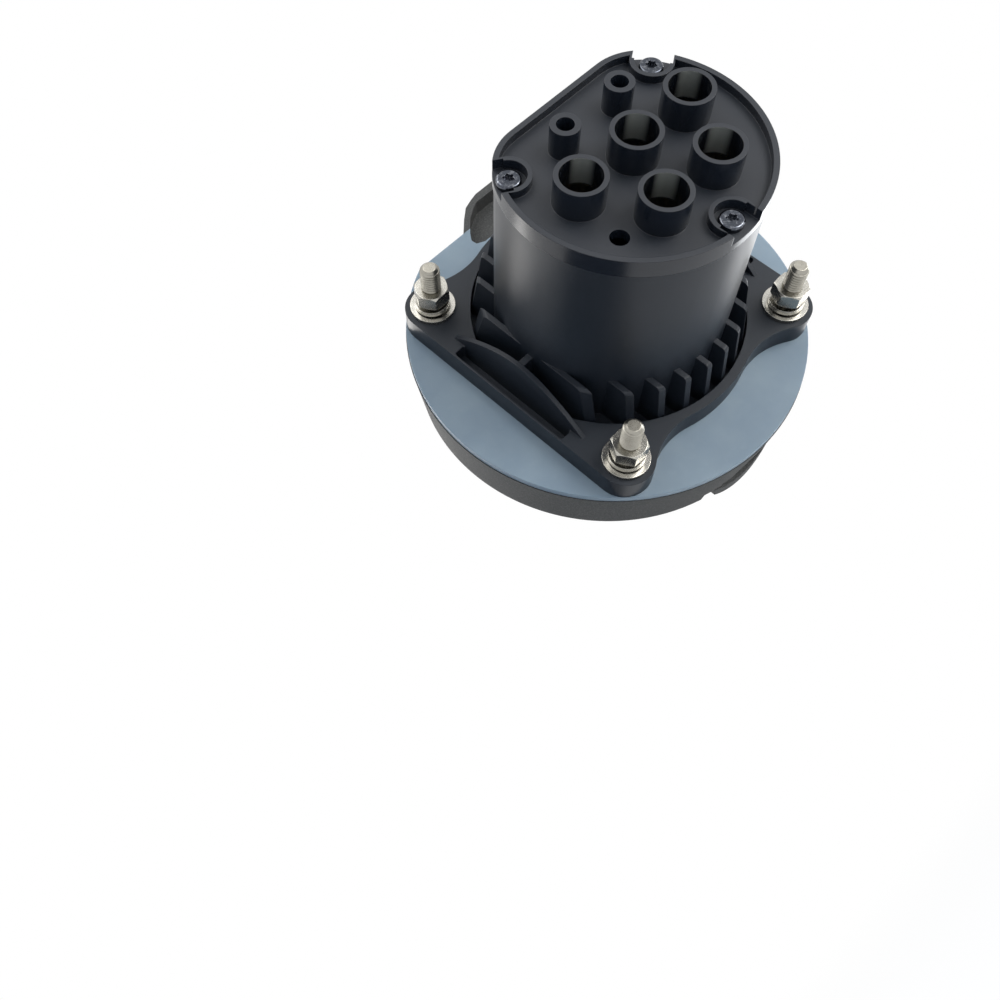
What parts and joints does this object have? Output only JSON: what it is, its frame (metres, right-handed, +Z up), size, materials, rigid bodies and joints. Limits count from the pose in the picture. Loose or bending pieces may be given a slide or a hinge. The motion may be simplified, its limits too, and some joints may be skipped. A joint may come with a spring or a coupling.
{
  "type": "ev charging socket",
  "caption": "Panel-mounted vehicle charging socket outlet with a round tapered bezel, sprung flip lid, flat gasket, finned barrel and rear wire tubes.",
  "frame": {"origin": "on the barrel's axis, in the panel plane at the rear face of the gasket", "axes": "+X to the right seen from the front, +Y back through the panel, +Z up towards the flat of the barrel"},
  "size_m": [0.1048, 0.0827, 0.1077],
  "materials": {
    "bezel_plastic": "fine-textured charcoal moulding",
    "body_plastic": "matt charcoal moulding",
    "cover_plastic": "satin charcoal moulding",
    "gasket_rubber": "soft blue-grey silicone",
    "seal_rubber": "soft black rubber",
    "stainless_steel": "bright stainless steel",
    "black_screw": "blackened steel",
    "contact_brass": "plated brass"
  },
  "bodies": {
    "lid": {"lid": "bezel_plastic", "lid_seal": "seal_rubber"},
    "housing": {"contact_carrier": "body_plastic", "contact_cp": "contact_brass", "contact_l1": "contact_brass", "contact_l2": "contact_brass", "contact_l3": "contact_brass", "contact_n": "contact_brass", "contact_pe": "contact_brass", "contact_pp": "contact_brass", "cover_screw_left": "black_screw", "cover_screw_low": "black_screw", "cover_screw_right": "black_screw", "flat_washer_lower_left": "stainless_steel", "flat_washer_lower_right": "stainless_steel", "flat_washer_upper_left": "stainless_steel", "flat_washer_upper_right": "stainless_steel", "front_bezel": "bezel_plastic", "lid_hinge_pin": "stainless_steel", "lid_spring": "stainless_steel", "nut_lower_left": "stainless_steel", "nut_lower_right": "stainless_steel", "nut_upper_left": "stainless_steel", "nut_upper_right": "stainless_steel", "panel_gasket": "gasket_rubber", "rear_cover": "cover_plastic", "socket_body": "body_plastic", "spring_washer_lower_left": "stainless_steel", "spring_washer_lower_right": "stainless_steel", "spring_washer_upper_left": "stainless_steel", "spring_washer_upper_right": "stainless_steel", "stud_lower_left": "stainless_steel", "stud_lower_right": "stainless_steel", "stud_upper_left": "stainless_steel", "stud_upper_right": "stainless_steel"}
  },
  "joints": [
    {"name": "lid_hinge", "type": "hinge", "parent": "housing", "child": "lid", "pos_m": [-0.0121, -0.0135, 0.0503], "axis": [-1, 0, 0], "range_deg": [0, 105], "stiffness_Nm_per_rad": 0.04, "springref_deg": -57.3, "deforming": ["lid_spring"]}
  ]
}
